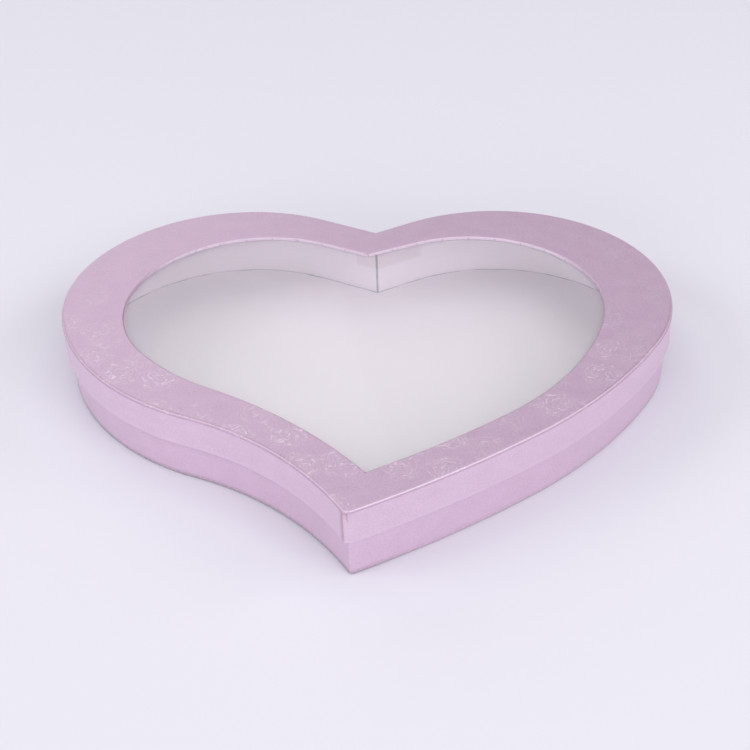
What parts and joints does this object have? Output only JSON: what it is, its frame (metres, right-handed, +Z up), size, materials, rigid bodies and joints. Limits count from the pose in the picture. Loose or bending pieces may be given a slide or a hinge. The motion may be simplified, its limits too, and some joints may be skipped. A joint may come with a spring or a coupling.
{
  "type": "heart gift box",
  "caption": "Shallow heart-shaped rigid gift box covered in pearl lilac paper, with a lift-off lid that has a clear heart window over a white-lined tray.",
  "frame": {"origin": "on the table, under the middle of the closed box's bounding box", "axes": "+X across the lobes to the right, +Y from the tip to the cleft side, +Z up through the lid"},
  "size_m": [0.3, 0.2476, 0.0365],
  "materials": {
    "lilac_paper": "pearl satin, embossed",
    "white_paper": "matte",
    "greyboard": "matte",
    "stay_tape": "matte",
    "clear_film": "clear gloss"
  },
  "bodies": {
    "base": {"base_floor_board": "greyboard", "base_wall_board_left": "greyboard", "base_wall_board_right": "greyboard", "base_cleft_stay": "stay_tape", "base_tip_stay": "stay_tape", "base_wall_wrap_left": "lilac_paper", "base_wall_wrap_right": "lilac_paper", "base_bottom_paper": "white_paper", "base_floor_liner": "white_paper", "base_wall_liner_left": "white_paper", "base_wall_liner_right": "white_paper"},
    "lid": {"lid_top_board": "greyboard", "lid_wall_board_left": "greyboard", "lid_wall_board_right": "greyboard", "lid_cleft_stay": "stay_tape", "lid_tip_stay": "stay_tape", "lid_top_wrap": "lilac_paper", "lid_wall_wrap_left": "lilac_paper", "lid_wall_wrap_right": "lilac_paper", "lid_window_film": "clear_film", "lid_window_liner": "white_paper"}
  },
  "joints": [
    {"name": "lid_lift", "type": "slide", "parent": "base", "child": "lid", "axis": [0, 0, 1], "range_m": [0, 0.05]}
  ]
}
